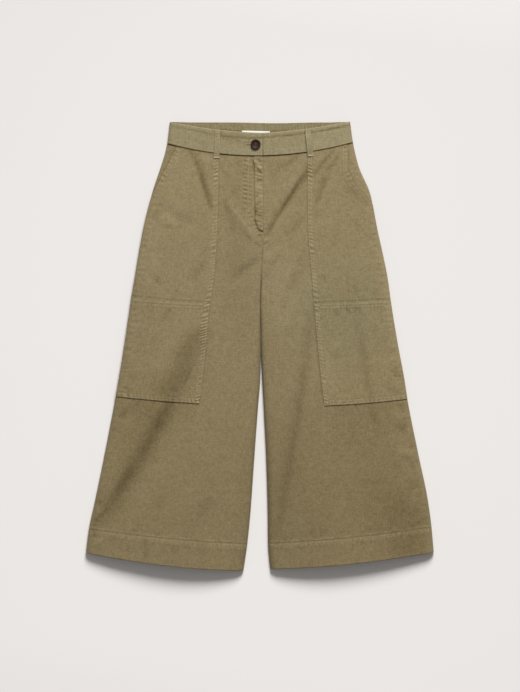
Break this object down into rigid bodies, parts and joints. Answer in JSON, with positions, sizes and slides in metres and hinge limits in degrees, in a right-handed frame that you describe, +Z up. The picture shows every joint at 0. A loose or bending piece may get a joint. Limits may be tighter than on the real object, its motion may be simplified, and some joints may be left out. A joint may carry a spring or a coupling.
{
  "type": "culottes",
  "caption": "Wide cropped cotton trousers laid flat on their back, with patch pockets, belt loops, a fly placket and a gathered back waistband.",
  "frame": {"origin": "under the middle of the garment, on the surface that it lies on", "axes": "+Z up, out of the front of the garment; +Y towards the waist; +X towards the wearer's left"},
  "size_m": [0.6432, 0.8301, 0.026],
  "materials": {
    "twill": "washed cotton twill, khaki olive",
    "label": "woven white tape",
    "button": "satin dark brown resin"
  },
  "bodies": {
    "root": {"front_right": "twill", "front_left": "twill", "back_right": "twill", "back_left": "twill", "pocket_right": "twill", "pocket_left": "twill", "patch_right": "twill", "patch_left": "twill", "fly_placket": "twill", "waistband_front_right": "twill", "waistband_front_left": "twill", "waistband_back": "twill", "belt_loop_front_right": "twill", "belt_loop_front_left": "twill", "belt_loop_back_right": "twill", "belt_loop_back_centre": "twill", "belt_loop_back_left": "twill", "label": "label", "button": "button"}
  },
  "joints": []
}
